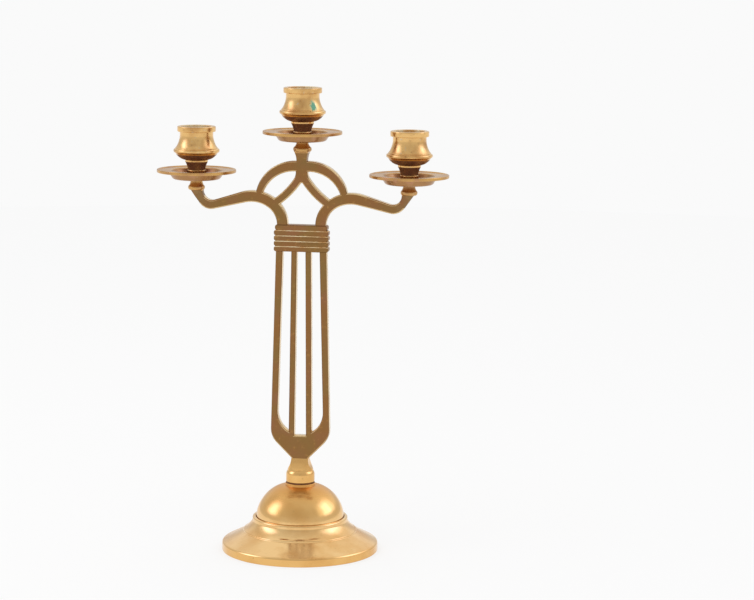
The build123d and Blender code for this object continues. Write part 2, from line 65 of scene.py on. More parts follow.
# Turned profiles. Each station is radius, height and rounding along both edges, in millimetres,
# the height measured from the piece's own seat.
FOOT_PROFILE = (
    (52.1, 0.0, 0.3), (57.3, 0.0, 0.5), (57.3, 6.0, 1.1), (41.6, 14.0, 0.3), (41.6, 15.1, 0.45),
    (36.99, 17.37, 4.7), (35.0, 22.1, 0.4), (35.0, 24.9, 1.2), (32.55, 24.9, 0.25), (32.5, 23.9, 0.05),
    (32.3, 23.9, 0.05), (32.3, 44.27, 20.3), (12.3, 48.1, 0.25), (10.9, 48.1, 0.3), (10.9, 49.9, 0.3),
    (9.7, 49.9, 0.1), (9.7, 50.7, 0.1), (3.25, 50.7, 0.2), (3.25, 45.3, 0.2), (12.93, 45.3, 0.3),
    (29.7, 41.17, 17.2), (29.7, 19.5, 1.0), (39.0, 11.4, 0.5),
)
PAN_PROFILE = (
    (2.65, 0.0, 0.1), (17.0, 0.0, 1.2), (20.2, 5.0, 0.8), (28.8, 5.0, 0.4), (28.8, 7.2, 0.5),
    (27.6, 7.2, 0.4), (27.2, 6.6, 0.3), (18.6, 6.6, 1.1), (15.4, 1.6, 1.0), (2.65, 1.6, 0.1),
)
CUP_PROFILE = (
    (0.0, 7.6, 0.0), (2.45, 7.6, 0.0), (2.45, 0.0, 0.2), (5.8, 0.0, 0.3), (5.8, 4.3, 0.2),
    (6.55, 4.3, 0.3), (6.55, 5.2, 0.3), (6.2, 5.2, 0.1), (6.75, 8.4, 2.6), (8.3, 11.2, 0.2),
    (8.3, 12.6, 0.25), (13.19, 13.42, 4.2), (15.5, 17.8, 0.1), (16.75, 17.9, 1.05), (16.75, 20.5, 1.05),
    (15.5, 20.6, 0.1), (15.45, 21.3, 0.25), (15.05, 21.5, 0.15), (12.1, 25.9, 4.6), (12.1, 33.0, 0.3),
    (13.95, 33.0, 0.6), (13.95, 36.9, 0.7), (11.0, 36.9, 0.5), (11.0, 30.0, 0.0), (11.0, 18.9, 0.6),
    (0.0, 18.9, 0.0),
)

# Steps along a large and a small rounding, and the rounding that divides the two
ARC_STEPS = 14
EDGE_STEPS = 3
ARC_ROUNDING = 2.0

# Threads: the depth as a share of the pitch, the ridge as shares of the pitch and of that depth, and the steps
# in one turn
THREAD_DEPTH = 0.55
THREAD_RIDGE = ((0.0, 0.0), (0.4, 1.0), (0.55, 1.0), (1.0, 0.0))
THREAD_FACETS = 36

# Seams of the foot, dark with dirt and painted shade of their recesses, as radius and height from and to: under
# the collar and round the dome
FOOT_SEAMS = ((5.0, 10.6, 49.85, 51.0), (32.2, 32.6, 23.6, 24.5))

# Between these heights, what faces inwards or down on the foot is its rough hollow
FOOT_HOLLOW = (0.6, 45.4)
FACES_DOWN = -0.5

# Heights on the foot between which its polish changes: where the pale brass, a painted sheen of the skirt's and
# ring's brighter reflections, begins over the rim and ends on the dome, where the deeper crown of the dome, a
# painted reflection of the brown stem above, begins and ends below the collar, and where it grows less even
SHEEN_BEGINS = (5.0, 7.0)
SHEEN_ENDS = (24.0, 32.0)
CROWN = (38.0, 47.0)
CROWN_END = 50.0
UNEVEN_BEGINS = (16.0, 26.0)

# The browner parts of a pan: inside the well's radius, and underneath as far out as the edge
PAN_WELL = 18.4
PAN_EDGE = 28.3

# Where the tarnish sits on a cup, above its seat: from the foot ring to the shoulder under the bead except for
# the ring between them, and in the socket, as radius and heights, up to the lip, where pale residue takes over
CUP_TARNISH = ((5.25, 11.3), (12.5, 16.9))
CUP_SOCKET = (11.2, 17.0, 30.0)
RESIDUE_REACH = 12.0

# The run of verdigris on the middle cup: its middle and its half sizes
VERDIGRIS_PLACE = (9.2, -9.4, 326.0)
VERDIGRIS_SIZE = (3.0, 3.0, 5.5)

# Regions of the stem, in millimetres: the polished neck, the ribbed band with its top rib, and the turned ends
# as distance from the stem's axis and lowest height, each on a swelling of the casting. Then two slopes, as the
# upward part of a face's normal: of the band's grooves' upward flanks, painted pale as a highlight of the light
# from above, and where a swelling's sides end
NECK_TOP = 68.4
BAND_LOW = 221.0
BAND_HIGH = 240.7
TOP_RIB = 238.0
TURNED_ENDS = ((0.0, 292.9), (78.0, 263.7))
TURNED_REACH = 7.0
SWELLING = 7.2
GROOVE_HIGHLIGHT_SLOPES = (0.5, 0.9)
SIDE_SLOPE = 0.5

# How far out the candles' heat has hazed the arms, from where it starts to where it is full
ELBOWS = (60.0, 78.0)

# Edges sharper than the first angle stay crisp, on the neck those sharper than the second, and seams flatter
# than the third are taken out
SHARP_ANGLE = math.radians(50)
FACET_ANGLE = math.radians(15)
FLAT_ANGLE = math.radians(0.3)

# The studio that the metal mirrors: brightness by bearing in degrees, from the front towards the right arm, at
# the height of the soft lights, and the power by which the lamps, above 1, lean to blue; the table; the room
# just above it; and overhead from the front to the back. Then where these meet: the rise of the table's edge
# and of the lamps' feet and heads, and how far the ceiling's front and back lie along the Y axis
LIGHT_RING = (
    (-180, 1.0), (-155, 0.95), (-135, 0.85), (-112, 0.7), (-98, 0.95), (-90, 2.0), (-78, 2.7), (-66, 2.0),
    (-55, 0.95), (-44, 0.68), (0, 0.62), (56, 0.68), (74, 1.1), (88, 2.0), (104, 2.3), (120, 1.6), (138, 1.0),
    (158, 0.95), (180, 1.0),
)
LAMP_COOLNESS = 1.35
TABLE_LEVEL = 0.98
HORIZON_LEVEL = 0.72
CEILING_LEVELS = (0.72, 0.95)
TABLE_EDGE = (math.radians(-2), math.radians(2))
LAMP_FOOT = (math.radians(9), math.radians(22))
LAMP_HEAD = (math.radians(36), math.radians(56))
CEILING_SPAN = (-0.5, 0.4)

# The floor, how much of its own glow is seen, and the soft light that draws the shadow, in metres
FLOOR_RADIUS = 2.2
FLOOR_FACETS = 96
PAPER_GLOW = 0.72
SOFTBOX_PLACE = (-0.5, -0.4, 1.5)
SOFTBOX_AIM = (0.0, 0.0, 0.1)
SOFTBOX_SIZE = 1.2
NEAREST_SEEN = 0.05


def linear(code):
    """An sRGB hex colour as linear RGB with full alpha."""
    channels = [int(code[i:i + 2], 16) / 255 for i in (1, 3, 5)]
    return tuple(c / 12.92 if c <= 0.04045 else ((c + 0.055) / 1.055) ** 2.4 for c in channels) + (1.0,)


def per_mm(size):
    """The texture scale whose features are about size millimetres across."""
    return 1.0 / (size * MM)


def colour_prop(name, description, code):
    """A colour property whose default is an sRGB hex value."""
    return bpy.props.FloatVectorProperty(
        name=name, description=description, subtype="COLOR", size=4, min=0.0, max=1.0, default=linear(code))


class CandelabraShape(bpy.types.PropertyGroup):
    """Sizes of the dressed pieces that a user would change."""

    facets: bpy.props.IntProperty(
        name="Facets", description="Steps round each turned piece", default=144, min=24, max=360)
    cup_pitch: bpy.props.FloatProperty(
        name="Cup thread pitch", description="Rise of a cup for each turn on its stud", default=1.0 * MM,
        min=0.0, unit="LENGTH")
    tie_pitch: bpy.props.FloatProperty(
        name="Tie thread pitch", description="Pitch of the thread on the tie under the foot", default=1.0 * MM,
        min=0.0, unit="LENGTH")


class CandelabraFinish(bpy.types.PropertyGroup):
    """Colours of the brass in its states of wear, and of the steel."""

    # Pale brass of the skirt and ring, painted as a sheen for their brighter reflections
    pale_sheen: colour_prop("Palest brass", "Brass of the foot's skirt and ring", "#F2CA8E")
    polished: colour_prop("Polished brass", "Clean turned brass of the dome and neck", "#ECBC76")
    deep: colour_prop("Deep brass", "Polished brass where it has dulled", "#DCA45C")
    olive: colour_prop("Olive patina", "Thin olive tarnish on brass", "#8A7442")
    cast: colour_prop("Cast brass", "Browned face of the casting", "#956A3F")
    cast_olive: colour_prop("Olive cast brass", "Olive patches on the casting", "#8E6F42")
    cast_red: colour_prop("Red cast brass", "Reddish patches on the casting", "#98694A")
    smoke: colour_prop("Smoked brass", "Grey haze on the elbows of the arms", "#92744E")
    # Pale gold of the casting's sides and edges: partly wear from handling, partly a painted sheen
    rubbed_and_sheen: colour_prop("Rubbed brass", "Edges worn bright by handling", "#EECF9A")
    pan_rim: colour_prop("Pan brass", "Satin brass of the pans", "#D0A362")
    pan_haze: colour_prop("Pan haze", "Brown haze on the pans", "#B4885C")
    pan_shade: colour_prop("Pan shade", "Browner brass in the wells and under the pans", "#A67C52")
    pan_mauve: colour_prop("Mauve haze", "Heat haze on the pans", "#BC8B6E")
    cup_gold: colour_prop("Cup brass", "Yellow brass of the cups", "#EBBF7C")
    cup_brown: colour_prop("Cup tarnish", "Brown clouds on the cups", "#B9824A")
    tarnish: colour_prop("Tarnish", "Red-brown tarnish under the cups", "#8C5E42")
    # Dark brown of the foot's seams: partly dirt, partly painted shade of the recesses
    grime_and_shade: colour_prop("Grime", "Dirt in the seams", "#7C4F22")
    # Pale of dried polish at the cups' mouths, and a painted highlight on the band's upward groove flanks
    crust_and_highlight: colour_prop("Polish crust", "Dried polish in the grooves of the band", "#E6D2A8")
    residue: colour_prop("Polish residue", "Pale grey polish left in corners", "#CDC5B0")
    soot: colour_prop("Dark patina", "Grey-green patina in the corners of the cups", "#5E5A48")
    verdigris: colour_prop("Verdigris", "Green copper salts", "#5FA88C")
    steel: colour_prop("Dull steel", "Plain steel of the tie", "#8C8984")


class CandelabraStage(bpy.types.PropertyGroup):
    """Camera, floor and lights."""

    distance: bpy.props.FloatProperty(
        name="Camera distance", description="From the stem's axis, level", default=1.851, unit="LENGTH")
    height: bpy.props.FloatProperty(
        name="Camera height", description="Above the table", default=0.4689, unit="LENGTH")
    azimuth: bpy.props.FloatProperty(
        name="Camera azimuth", description="Round from the front towards the right arm",
        default=math.radians(10.032), unit="ROTATION")
    pan: bpy.props.FloatProperty(
        name="Camera pan", description="Turned right of the stem's axis", default=math.radians(1.702),
        unit="ROTATION")
    tilt: bpy.props.FloatProperty(
        name="Camera tilt", description="Turned down from level", default=math.radians(8.694), unit="ROTATION")
    roll: bpy.props.FloatProperty(
        name="Camera roll", description="Turned about its own line of sight", default=math.radians(0.616),
        unit="ROTATION")
    focal_pixels: bpy.props.FloatProperty(
        name="Focal length in pixels", description="On a picture of the photograph's width", default=2571.5)
    paper: colour_prop("Paper", "Floor and backdrop", "#FAFAFA")
    top_light: bpy.props.FloatProperty(
        name="Top light", description="Power of the soft light that draws the shadow", default=4.0, min=0.0,
        unit="POWER")


def add(tree, kind, inputs=None, **settings):
    """Adds a node with its settings; each input is a value or the socket that feeds it."""
    made = tree.nodes.new(kind)
    for key, value in settings.items():
        setattr(made, key, value)
    for key, value in (inputs or {}).items():
        if isinstance(value, bpy.types.NodeSocket):
            tree.links.new(value, made.inputs[key])
        else:
            made.inputs[key].default_value = value
    return made


def blank_material(name):
    """A new node material with only its output, and the Object coordinates that its patterns read."""
    material = bpy.data.materials.new(name)
    material.use_nodes = True
    tree = material.node_tree
    tree.nodes.clear()
    return material, tree, add(tree, "ShaderNodeTexCoord").outputs["Object"]


def close_material(tree, shader):
    """Feeds the finished shader to the material's output."""
    add(tree, "ShaderNodeOutputMaterial", {"Surface": shader.outputs[0]})


def patches(tree, place, size, low, high, most=1.0, least=0.0):
    """Irregular patches about size millimetres across: least where the noise is below low, most above high."""
    noise = add(tree, "ShaderNodeTexNoise", {"Vector": place, "Scale": per_mm(size), "Detail": 4.0})
    return add(tree, "ShaderNodeMapRange", {
        "Value": noise.outputs["Fac"], "From Min": low, "From Max": high, "To Min": least,
        "To Max": most}).outputs[0]


def metal(tree, colour, roughness, bump=None):
    """A bare metal surface from its colour, roughness and relief."""
    inputs = {"Base Color": colour, "Metallic": 1.0, "Roughness": roughness}
    if bump:
        inputs["Normal"] = bump.outputs[0]
    close_material(tree, add(tree, "ShaderNodeBsdfPrincipled", inputs))


def polished_brass(finish):
    """Turned and polished brass: a soft mirror, gold with duller clouds, fine lathe lines and olive specks."""
    material, tree, place = blank_material("polished_turned_brass")
    dulled = patches(tree, place, 22, 0.42, 0.7, 0.7)
    # The skirt and ring are painted pale, a painted sheen for their brighter reflections, from the top of the
    # rim to the dome
    up = add(tree, "ShaderNodeSeparateXYZ", {0: place})
    over = add(tree, "ShaderNodeMapRange", {
        "Value": up.outputs["Z"], "From Min": SHEEN_BEGINS[0] * MM, "From Max": SHEEN_BEGINS[1] * MM})
    under = add(tree, "ShaderNodeMapRange", {
        "Value": up.outputs["Z"], "From Min": SHEEN_ENDS[0] * MM, "From Max": SHEEN_ENDS[1] * MM,
        "To Min": 1.0, "To Max": 0.0})
    skirt = add(tree, "ShaderNodeMath", {0: over.outputs[0], 1: under.outputs[0]}, operation="MULTIPLY")
    clean = add(tree, "ShaderNodeMix", {0: skirt.outputs[0], 6: finish.polished, 7: finish.pale_sheen},
                data_type="RGBA")
    # Round the collar the top of the dome is deeper in colour, a painted reflection of the brown stem above, and
    # rougher
    top = add(tree, "ShaderNodeMapRange", {
        "Value": up.outputs["Z"], "From Min": CROWN[0] * MM, "From Max": CROWN[1] * MM})
    below = add(tree, "ShaderNodeMath", {0: up.outputs["Z"], 1: CROWN_END * MM}, operation="LESS_THAN")
    crown_reflection = add(tree, "ShaderNodeMath", {0: top.outputs[0], 1: below.outputs[0]}, operation="MULTIPLY")
    dulled_and_reflection = add(tree, "ShaderNodeMath", {0: dulled, 1: crown_reflection.outputs[0]}, operation="MAXIMUM")
    gold = add(tree, "ShaderNodeMix", {0: dulled_and_reflection.outputs[0], 6: clean.outputs[2], 7: finish.deep},
               data_type="RGBA")
    specks = patches(tree, place, 2.2, 0.68, 0.76, 0.6)
    colour = add(tree, "ShaderNodeMix", {0: specks, 6: gold.outputs[2], 7: finish.olive}, data_type="RGBA")
    rough = add(tree, "ShaderNodeMapRange", {"Value": dulled_and_reflection.outputs[0], "To Min": 0.11, "To Max": 0.36})
    # Hand polishing leaves the dome uneven over a few millimetres, which breaks up what it mirrors
    uneven = add(tree, "ShaderNodeTexNoise", {"Vector": place, "Scale": per_mm(5), "Detail": 2.0})
    wavy = add(tree, "ShaderNodeMapRange", {
        "Value": up.outputs["Z"], "From Min": UNEVEN_BEGINS[0] * MM, "From Max": UNEVEN_BEGINS[1] * MM,
        "To Min": 0.12, "To Max": 0.6})
    dents = add(tree, "ShaderNodeBump", {
        "Strength": wavy.outputs[0], "Distance": 0.1 * MM, "Height": uneven.outputs["Fac"]})
    # Real lathe lines are about 0.2 mm apart; drawn at 0.9 mm so that they show
    lathe = add(tree, "ShaderNodeTexWave", {"Vector": place, "Scale": per_mm(0.9) / 20, "Distortion": 1.5},
                wave_type="BANDS", bands_direction="Z")
    bump = add(tree, "ShaderNodeBump", {
        "Strength": 0.03, "Distance": 0.1 * MM, "Height": lathe.outputs["Fac"], "Normal": dents.outputs[0]})
    metal(tree, colour.outputs[2], rough.outputs[0], bump)
    return material


def browned(tree, place, finish):
    """Colour of the browned casting: olive and reddish clouds, bare flecks, and grey haze on the elbows."""
    olive = patches(tree, place, 24, 0.4, 0.64)
    brown = add(tree, "ShaderNodeMix", {0: olive, 6: finish.cast, 7: finish.cast_olive}, data_type="RGBA")
    red = patches(tree, place, 15, 0.5, 0.74, 0.8)
    warm = add(tree, "ShaderNodeMix", {0: red, 6: brown.outputs[2], 7: finish.cast_red}, data_type="RGBA")
    clean = patches(tree, place, 3, 0.6, 0.78, 0.35)
    bare = add(tree, "ShaderNodeMix", {0: clean, 6: warm.outputs[2], 7: finish.deep}, data_type="RGBA")
    across = add(tree, "ShaderNodeSeparateXYZ", {0: place})
    out = add(tree, "ShaderNodeMath", {0: across.outputs["X"]}, operation="ABSOLUTE")
    near = add(tree, "ShaderNodeMapRange", {
        "Value": out.outputs[0], "From Min": ELBOWS[0] * MM, "From Max": ELBOWS[1] * MM})
    smoked = add(tree, "ShaderNodeMath", {0: near.outputs[0], 1: patches(tree, place, 6, 0.35, 0.6)},
                 operation="MULTIPLY")
    colour = add(tree, "ShaderNodeMix", {0: smoked.outputs[0], 6: bare.outputs[2], 7: finish.smoke},
                 data_type="RGBA")
    return colour.outputs[2]


def grain(tree, place):
    """The faint relief that the sand mould leaves."""
    sand = add(tree, "ShaderNodeTexNoise", {"Vector": place, "Scale": per_mm(1.2), "Detail": 3.0})
    return add(tree, "ShaderNodeBump", {"Strength": 0.15, "Distance": 0.1 * MM, "Height": sand.outputs["Fac"]})


def cast_brass(finish):
    """Sand-cast brass gone brown: satin, with olive and reddish clouds and a faint grain."""
    material, tree, place = blank_material("browned_cast_brass")
    metal(tree, browned(tree, place, finish), 0.36, grain(tree, place))
    return material


def rubbed_and_sheen_brass(finish):
    """The same casting: brown flats, with sides and sloping edges pale gold, partly worn by hands and partly a
    painted sheen of the light they catch.
    """
    material, tree, place = blank_material("rubbed_and_sheen_cast_brass")
    # Faces turned up, down or sideways are painted pale by the way they face, a painted sheen, in worn patches
    facing = add(tree, "ShaderNodeNewGeometry").outputs["True Normal"]
    size = add(tree, "ShaderNodeVectorMath", {0: facing}, operation="ABSOLUTE")
    axes = add(tree, "ShaderNodeSeparateXYZ", {0: size.outputs[0]})
    slope = add(tree, "ShaderNodeMapRange", {
        "Value": axes.outputs["Z"], "From Min": 0.1, "From Max": 0.6, "To Max": 0.85},
        interpolation_type="SMOOTHSTEP")
    side = add(tree, "ShaderNodeMapRange", {
        "Value": axes.outputs["Y"], "From Min": 0.15, "From Max": 0.45, "To Min": 1.0, "To Max": 0.0},
        interpolation_type="SMOOTHSTEP")
    edge = add(tree, "ShaderNodeMath", {0: slope.outputs[0], 1: side.outputs[0]}, operation="MAXIMUM")
    worn = add(tree, "ShaderNodeMath", {0: edge.outputs[0], 1: patches(tree, place, 12, 0.3, 0.5, 1.0, 0.6)},
               operation="MULTIPLY")
    colour = add(tree, "ShaderNodeMix", {
        0: worn.outputs[0], 6: browned(tree, place, finish), 7: finish.rubbed_and_sheen}, data_type="RGBA")
    rough = add(tree, "ShaderNodeMapRange", {"Value": worn.outputs[0], "To Min": 0.36, "To Max": 0.18})
    metal(tree, colour.outputs[2], rough.outputs[0], grain(tree, place))
    return material


def hazed_brass(finish):
    """Satin brass of the pans' rims and the seats, hazed brown and mauve by heat, grey from dried polish."""
    return satin_brass("hazed_satin_brass", finish, finish.pan_rim, finish.pan_haze)


def shaded_brass(finish):
    """Satin brass of the studs and of the pans' wells and undersides, browner because no cloth gets there."""
    return satin_brass("browned_satin_brass", finish, finish.pan_shade, finish.pan_haze)


def satin_brass(name, finish, clear, hazed):
    """Satin brass of a clear and a hazed colour, with mauve heat marks and specks of dried polish."""
    material, tree, place = blank_material(name)
    haze = patches(tree, place, 13, 0.4, 0.66, 0.9)
    gold = add(tree, "ShaderNodeMix", {0: haze, 6: clear, 7: hazed}, data_type="RGBA")
    heat = patches(tree, place, 9, 0.56, 0.7, 0.7)
    mauve = add(tree, "ShaderNodeMix", {0: heat, 6: gold.outputs[2], 7: finish.pan_mauve}, data_type="RGBA")
    dried = patches(tree, place, 3, 0.66, 0.76, 0.4)
    colour = add(tree, "ShaderNodeMix", {0: dried, 6: mauve.outputs[2], 7: finish.residue}, data_type="RGBA")
    rough = add(tree, "ShaderNodeMapRange", {"Value": haze, "To Min": 0.22, "To Max": 0.36})
    metal(tree, colour.outputs[2], rough.outputs[0])
    return material


def cup_brass(finish):
    """Yellow brass of the cups, polished over brown clouds, with dried polish, patina and a verdigris run."""
    material, tree, place = blank_material("clouded_cup_brass")
    brown = patches(tree, place, 12, 0.45, 0.72, 0.8)
    gold = add(tree, "ShaderNodeMix", {0: brown, 6: finish.cup_gold, 7: finish.cup_brown}, data_type="RGBA")
    dried = patches(tree, place, 2.5, 0.62, 0.74, 0.55)
    pale = add(tree, "ShaderNodeMix", {0: dried, 6: gold.outputs[2], 7: finish.residue}, data_type="RGBA")
    dark = patches(tree, place, 3, 0.64, 0.78, 0.45)
    patina = add(tree, "ShaderNodeMix", {0: dark, 6: pale.outputs[2], 7: finish.soot}, data_type="RGBA")
    # The run of verdigris is on the middle cup's right shoulder, longer than it is wide, with a ragged edge
    run = add(tree, "ShaderNodeMapping", {
        "Vector": place, "Location": [-c * MM for c in VERDIGRIS_PLACE]}, vector_type="POINT")
    drop = add(tree, "ShaderNodeVectorMath", {
        0: run.outputs[0], 1: [1 / (c * MM) for c in VERDIGRIS_SIZE]}, operation="MULTIPLY")
    far = add(tree, "ShaderNodeVectorMath", {0: drop.outputs[0]}, operation="LENGTH")
    ragged = add(tree, "ShaderNodeTexNoise", {"Vector": place, "Scale": per_mm(2), "Detail": 4.0})
    edge = add(tree, "ShaderNodeMath", {0: far.outputs["Value"], 1: ragged.outputs["Fac"]}, operation="ADD")
    green = add(tree, "ShaderNodeMapRange", {
        "Value": edge.outputs[0], "From Min": 1.1, "From Max": 1.6, "To Min": 0.9, "To Max": 0.0})
    colour = add(tree, "ShaderNodeMix", {0: green.outputs[0], 6: patina.outputs[2], 7: finish.verdigris},
                 data_type="RGBA")
    rough = add(tree, "ShaderNodeMapRange", {"Value": brown, "To Min": 0.21, "To Max": 0.3})
    duller = add(tree, "ShaderNodeMath", {0: green.outputs[0], 1: 0.45, 2: rough.outputs[0]},
                 operation="MULTIPLY_ADD")
    uneven = add(tree, "ShaderNodeTexNoise", {"Vector": place, "Scale": per_mm(5), "Detail": 2.0})
    bump = add(tree, "ShaderNodeBump", {"Strength": 0.1, "Distance": 0.1 * MM, "Height": uneven.outputs["Fac"]})
    metal(tree, colour.outputs[2], duller.outputs[0], bump)
    return material


def tarnished_brass(finish):
    """Brass left to tarnish red-brown where no cloth reaches."""
    material, tree, place = blank_material("tarnished_brass")
    clean = patches(tree, place, 6, 0.5, 0.75, 0.5)
    colour = add(tree, "ShaderNodeMix", {0: clean, 6: finish.tarnish, 7: finish.deep}, data_type="RGBA")
    # A film of oxide lies over the brass, so it mirrors less than bare metal
    shader = add(tree, "ShaderNodeBsdfPrincipled", {
        "Base Color": colour.outputs[2], "Metallic": 0.6, "Roughness": 0.38})
    close_material(tree, shader)
    return material


def dried_polish_and_highlight(finish):
    """Metal polish dried pale in the sockets, worn thin to brass in places; in the band the same pale lies on
    the grooves' upward flanks as a painted highlight.
    """
    material, tree, place = blank_material("dried_polish_and_groove_highlight")
    thin = patches(tree, place, 7, 0.42, 0.66, 0.8)
    colour = add(tree, "ShaderNodeMix", {0: thin, 6: finish.crust_and_highlight, 7: finish.deep}, data_type="RGBA")
    shader = add(tree, "ShaderNodeBsdfPrincipled", {
        "Base Color": colour.outputs[2], "Metallic": thin, "Roughness": 0.5})
    close_material(tree, shader)
    return material


def seam_grime_and_shade(finish):
    """Old polish and dust packed into the seams, with crumbs of brown: dark and dull, the dark partly painted
    shade of the recesses.
    """
    material, tree, place = blank_material("grime_and_shade_in_seams")
    crumbs = patches(tree, place, 1.5, 0.5, 0.7)
    colour = add(tree, "ShaderNodeMix", {0: crumbs, 6: finish.grime_and_shade, 7: finish.tarnish}, data_type="RGBA")
    shader = add(tree, "ShaderNodeBsdfPrincipled", {"Base Color": colour.outputs[2], "Roughness": 0.75})
    close_material(tree, shader)
    return material


def dull_steel(finish):
    """Plain turned steel, dulled to grey with darker clouds."""
    material, tree, place = blank_material("dull_turned_steel")
    clouds = patches(tree, place, 3, 0.35, 0.65)
    rough = add(tree, "ShaderNodeMapRange", {"Value": clouds, "To Min": 0.32, "To Max": 0.55})
    metal(tree, finish.steel, rough.outputs[0])
    return material


FINISHES = {
    "polished": polished_brass,
    "cast": cast_brass,
    "rubbed_and_sheen": rubbed_and_sheen_brass,
    "hazed": hazed_brass,
    "shaded": shaded_brass,
    "cup": cup_brass,
    "tarnished": tarnished_brass,
    "dried": dried_polish_and_highlight,
    "grime_and_shade": seam_grime_and_shade,
    "steel": dull_steel,
}
made_finishes = {}


def finish_named(context, name):
    """The material of a finish, made on its first use."""
    if name not in made_finishes:
        made_finishes[name] = FINISHES[name](context.scene.candelabra_finish)
    return made_finishes[name]


def spin_profile(stations, facets):
    """A bmesh turned about the Z axis from profile stations, each rounded before the spin."""
    bm = bmesh.new()
    corners = [bm.verts.new((r * MM, 0.0, z * MM)) for r, z, _ in stations]
    for here, there in zip(corners, corners[1:]):
        bm.edges.new((here, there))
    if stations[0][0] > 0.0:
        bm.edges.new((corners[-1], corners[0]))
    for corner, (_, _, rounding) in zip(corners, stations):
        if rounding > 0.0:
            steps = ARC_STEPS if rounding > ARC_ROUNDING else EDGE_STEPS
            bmesh.ops.bevel(bm, geom=[corner], offset=rounding * MM, offset_type="OFFSET", segments=steps,
                            profile=0.5, affect="VERTICES", clamp_overlap=False, material=-1)
    bmesh.ops.spin(bm, geom=bm.verts[:] + bm.edges[:], cent=(0, 0, 0), axis=(0, 0, 1), dvec=(0, 0, 0),
                   angle=math.tau, steps=facets, use_merge=True, use_duplicate=False)
    bmesh.ops.remove_doubles(bm, verts=bm.verts[:], dist=MERGED)
    bmesh.ops.dissolve_degenerate(bm, edges=bm.edges[:], dist=NO_LENGTH)
    bmesh.ops.recalc_face_normals(bm, faces=bm.faces[:])
    return bm


def threaded_rod(low, high, pitch):
    """A bmesh of a threaded rod that fills a box: one ridge wound past both ends, cut off level and capped."""
    middle = (low + high) / 2
    crest = (high.x - low.x) / 2
    root = crest - THREAD_DEPTH * pitch
    bm = bmesh.new()
    ridge = [bm.verts.new((root + height * (crest - root), 0.0, -pitch + share * pitch))
             for share, height in THREAD_RIDGE]
    for here, there in zip(ridge, ridge[1:]):
        bm.edges.new((here, there))
    length = high.z - low.z
    turns = math.ceil(length / pitch) + 2
    bmesh.ops.spin(bm, geom=bm.verts[:] + bm.edges[:], cent=(0, 0, 0), axis=(0, 0, 1),
                   dvec=(0, 0, pitch / THREAD_FACETS), angle=math.tau * turns, steps=THREAD_FACETS * turns,
                   use_merge=False, use_duplicate=False)
    bmesh.ops.remove_doubles(bm, verts=bm.verts[:], dist=MERGED)
    for level, up in ((0.0, -1.0), (length, 1.0)):
        bmesh.ops.bisect_plane(bm, geom=bm.verts[:] + bm.edges[:] + bm.faces[:], plane_co=(0, 0, level),
                               plane_no=(0, 0, up), clear_outer=True)
    bmesh.ops.holes_fill(bm, edges=[edge for edge in bm.edges if edge.is_boundary], sides=0)
    bmesh.ops.remove_doubles(bm, verts=bm.verts[:], dist=MERGED)
    bmesh.ops.recalc_face_normals(bm, faces=bm.faces[:])
    bmesh.ops.translate(bm, verts=bm.verts[:], vec=(middle.x, middle.y, low.z))
    for edge in bm.edges:
        edge.smooth = edge.calc_face_angle(0.0) < SHARP_ANGLE
    return bm


def paint(bm, finishes, chosen):
    """Gives each face its finish, as the place in finishes of the one that chosen names for it."""
    for face in bm.faces:
        face.material_index = finishes.index(chosen(face))


def finish_piece(context, bm, name, body, nodes, finishes):
    """Makes the object of a bmesh, in its place, smooth, riding on its body for the nodes it replaces."""
    for face in bm.faces:
        face.smooth = True
    mesh = bpy.data.meshes.new(name)
    bm.to_mesh(mesh)
    bm.free()
    for finish in finishes:
        mesh.materials.append(finish_named(context, finish))
    piece = bpy.data.objects.new(name, mesh)
    context.scene.collection.objects.link(piece)
    shading = piece.modifiers.new("even_shading", "WEIGHTED_NORMAL")
    shading.keep_sharp = True
    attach(piece, body)
    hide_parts(*nodes)
    return piece


def light_place(node):
    """Axis and lowest height of one light's CAD node."""
    low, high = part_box(node)
    return Vector(((low.x + high.x) / 2, (low.y + high.y) / 2, low.z))


def dress_node(context, node, finish):
    """Gives a CAD node a finish of its own."""
    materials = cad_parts[node].data.materials
    materials.clear()
    materials.append(finish_named(context, finish))


def foot_finish(face):
    """The finish of a face of the foot: dirt and painted shade in the seams, rough brass in the hollow, polish
    elsewhere.
    """
    place = face.calc_center_median() / MM
    radius = place.xy.length
    if any(inner < radius < outer and low < place.z < high for inner, outer, low, high in FOOT_SEAMS):
        return "grime_and_shade"
    inside = face.normal.xy.dot(place.xy) < 0.0 or face.normal.z < FACES_DOWN
    low, high = FOOT_HOLLOW
    return "cast" if inside and low < place.z < high else "polished"


def stem_finish(face):
    """The finish of a face of the casting, by its place and the way it faces."""
    place = face.calc_center_median() / MM
    if place.z < NECK_TOP:
        return "polished"
    foot = min(vert.co.z for vert in face.verts) / MM
    ends = [low for out, low in TURNED_ENDS if abs(abs(place.x) - out) < TURNED_REACH]
    if any(foot > low for low in ends):
        return "hazed"
    # The upward flanks of the band's grooves get the pale dried finish as a painted highlight of the light from
    # above
    least, most = GROOVE_HIGHLIGHT_SLOPES
    if BAND_LOW < place.z < TOP_RIB and least < face.normal.z < most:
        return "dried"
    swelling = face.normal.z < SIDE_SLOPE and any(place.z > low - SWELLING for low in ends)
    return "cast" if swelling or BAND_LOW < place.z < BAND_HIGH else "rubbed_and_sheen"


def pan_finish(face):
    """The finish of a pan's face: browner in the well and underneath, hazed on the rim."""
    reach = PAN_EDGE if face.normal.z < 0.0 else PAN_WELL
    return "shaded" if (face.calc_center_median() / MM).xy.length < reach else "hazed"


def cup_finish(face):
    """The finish of a cup's face: tarnish under the bead and in the socket, dried polish at its mouth."""
    place = face.calc_center_median() / MM
    radius = place.xy.length
    socket, bottom, mouth = CUP_SOCKET
    if radius < socket and bottom < place.z < mouth or any(low < place.z < high for low, high in CUP_TARNISH):
        return "tarnished"
    return "dried" if radius < RESIDUE_REACH and place.z > mouth else "cup"


